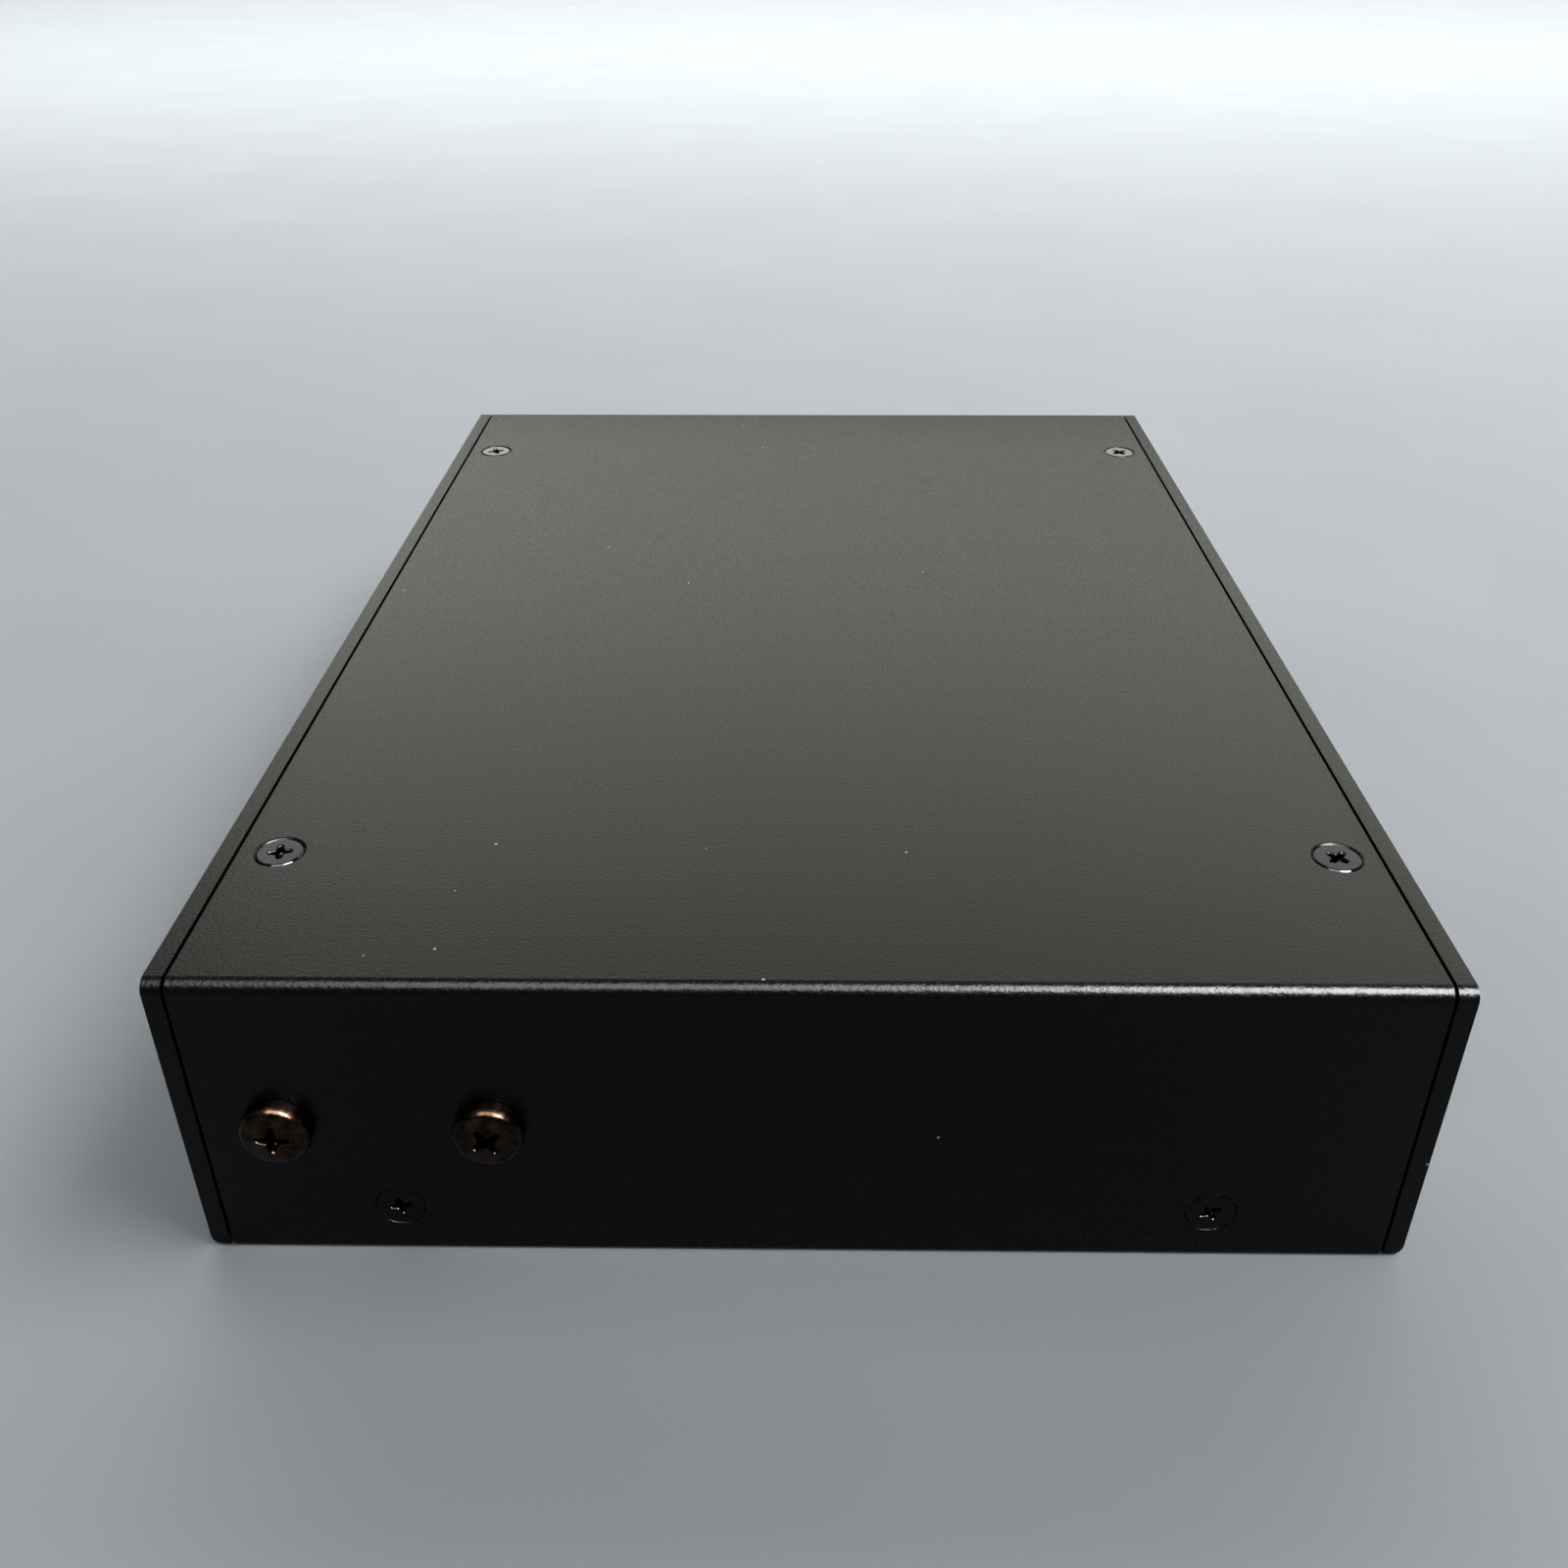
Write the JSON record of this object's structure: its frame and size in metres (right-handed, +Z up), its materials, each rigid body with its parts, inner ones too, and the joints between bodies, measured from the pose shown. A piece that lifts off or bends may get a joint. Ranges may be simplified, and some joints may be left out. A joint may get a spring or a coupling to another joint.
{
  "type": "firewall appliance",
  "caption": "Low, flat black sheet-metal box of a fanless network firewall, with network sockets and a power switch on its rear panel and status lights on its front.",
  "frame": {"origin": "middle of the underside, on the surface that the case stands on", "axes": "+X across the case towards the rear panel with the sockets, +Y along the panels, +Z up"},
  "size_m": [0.137, 0.1874, 0.0372],
  "materials": {
    "paint": "satin black powder coat with a fine orange-peel grain",
    "black_screw": "black plated steel, glossy",
    "bronze_screw": "brown, tarnished plated steel",
    "steel": "bright nickel-plated steel",
    "brass": "turned brass",
    "aluminium": "bare extruded aluminium",
    "laminate": "green solder mask over fibreglass laminate",
    "chip": "moulded epoxy",
    "black_plastic": "moulded black nylon",
    "ivory_plastic": "natural nylon",
    "clear_plastic": "clear moulded polycarbonate",
    "thermal_pad": "soft grey silicone",
    "red_plastic": "red vinyl wire insulation"
  },
  "bodies": {
    "case": {"base_chassis": "paint", "battery_holder": "black_plastic", "board_screw_1": "steel", "board_screw_2": "steel", "board_screw_3": "steel", "board_screw_4": "steel", "board_standoff_1": "brass", "board_standoff_2": "brass", "board_standoff_3": "brass", "board_standoff_4": "brass", "capacitor": "aluminium", "choke_1": "chip", "choke_2": "chip", "coin_cell": "steel", "console_jack": "black_plastic", "cover_screw_side_1": "black_screw", "cover_screw_side_2": "black_screw", "cover_screw_side_3": "black_screw", "cover_screw_side_4": "black_screw", "cover_screw_top_1": "black_screw", "cover_screw_top_2": "black_screw", "cover_screw_top_3": "black_screw", "cover_screw_top_4": "black_screw", "dc_socket": "black_plastic", "ear_screw_far_1": "bronze_screw", "ear_screw_far_2": "bronze_screw", "ear_screw_near_1": "bronze_screw", "ear_screw_near_2": "bronze_screw", "ground_screw": "steel", "ground_washer": "steel", "heat_sink": "aluminium", "heat_sink_screw_1": "steel", "heat_sink_screw_2": "steel", "light_pipe_1": "clear_plastic", "light_pipe_2": "clear_plastic", "light_pipe_3": "clear_plastic", "light_pipe_4": "clear_plastic", "light_pipe_5": "clear_plastic", "light_pipe_6": "clear_plastic", "main_board": "laminate", "memory_module": "laminate", "memory_socket": "black_plastic", "network_jack_1": "steel", "network_jack_2": "steel", "network_jack_3": "steel", "network_jack_4": "steel", "power_switch_housing": "black_plastic", "processor": "chip", "reset_switch": "black_plastic", "storage_card": "laminate", "storage_screw": "steel", "storage_socket": "black_plastic", "switch_header": "ivory_plastic", "switch_lead_1": "red_plastic", "switch_lead_2": "black_plastic", "thermal_pad": "thermal_pad", "top_cover": "paint", "usb_socket": "steel"},
    "rocker": {"power_rocker": "black_plastic"},
    "reset_button": {"reset_plunger": "ivory_plastic"}
  },
  "joints": [
    {"name": "power_rocker_tilt", "type": "hinge", "parent": "case", "child": "rocker", "pos_m": [0.0645, -0.076, 0.019], "axis": [0, 0, 1], "range_deg": [0, 22]},
    {"name": "reset_press", "type": "slide", "parent": "case", "child": "reset_button", "axis": [-1, 0, 0], "range_m": [0, 0.0005], "stiffness_N_per_m": 400, "springref_m": -0.001}
  ]
}
